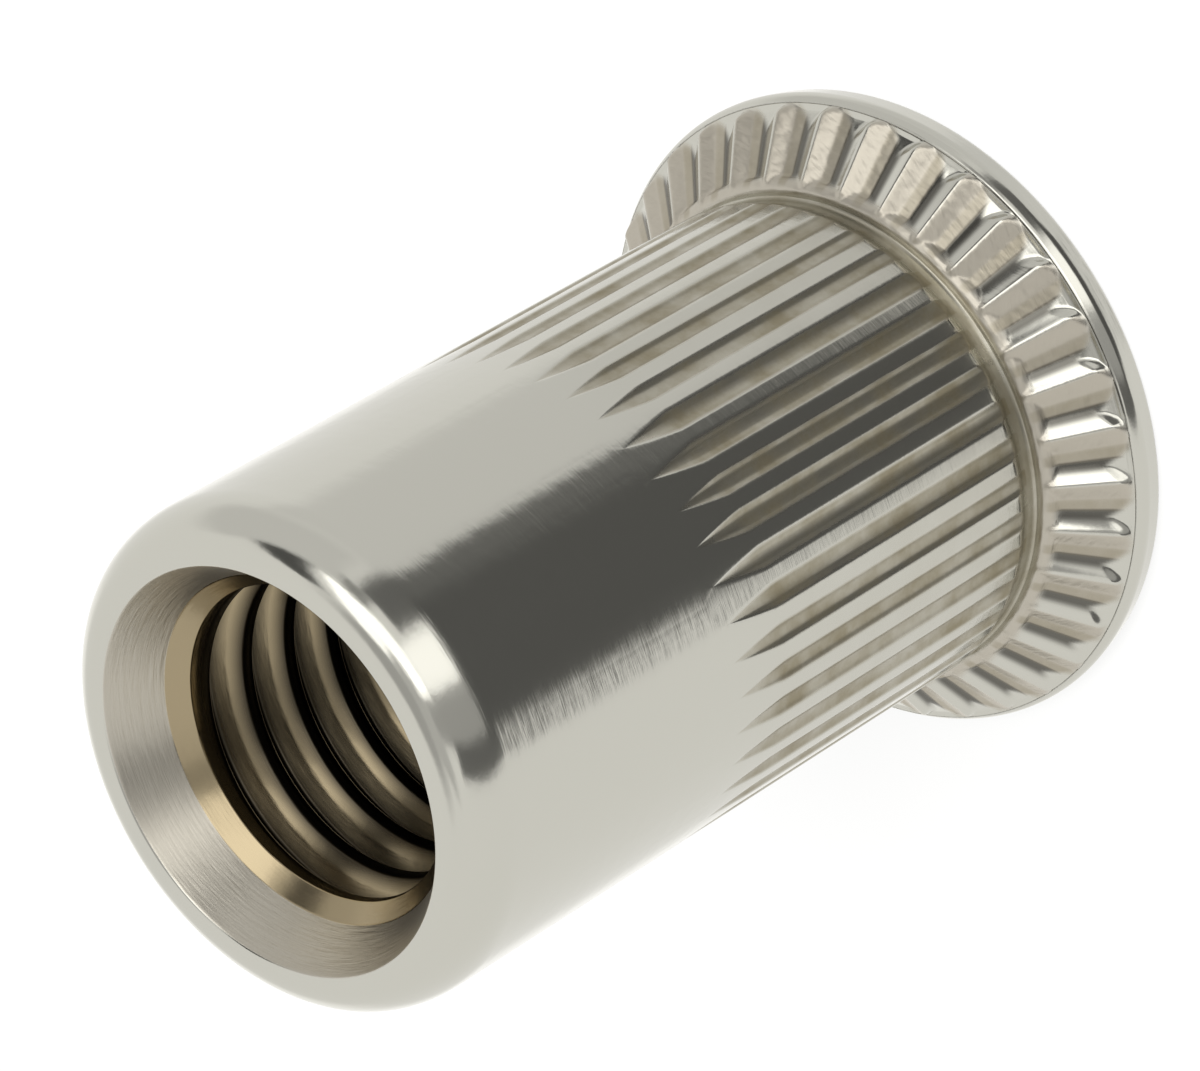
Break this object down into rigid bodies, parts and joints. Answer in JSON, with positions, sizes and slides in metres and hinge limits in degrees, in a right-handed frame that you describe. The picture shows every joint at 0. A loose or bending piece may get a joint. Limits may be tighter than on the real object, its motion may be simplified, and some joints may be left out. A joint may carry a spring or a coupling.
{
  "type": "rivet nut",
  "caption": "One-piece blind rivet nut with a ribbed countersunk head, straight knurled collapse zone and an open threaded end.",
  "frame": {"origin": "centre of the head's flat face, which it stands on", "axes": "+Z along the axis of revolution, from the head to the open threaded end; +X through the middle of one ridge between two knurl grooves"},
  "size_m": [0.0144, 0.0144, 0.0198],
  "materials": {
    "stainless_steel": "cold formed and tumbled, softly polished, slightly warm grey"
  },
  "bodies": {
    "root": {"rivet_nut": "stainless_steel"}
  },
  "joints": []
}
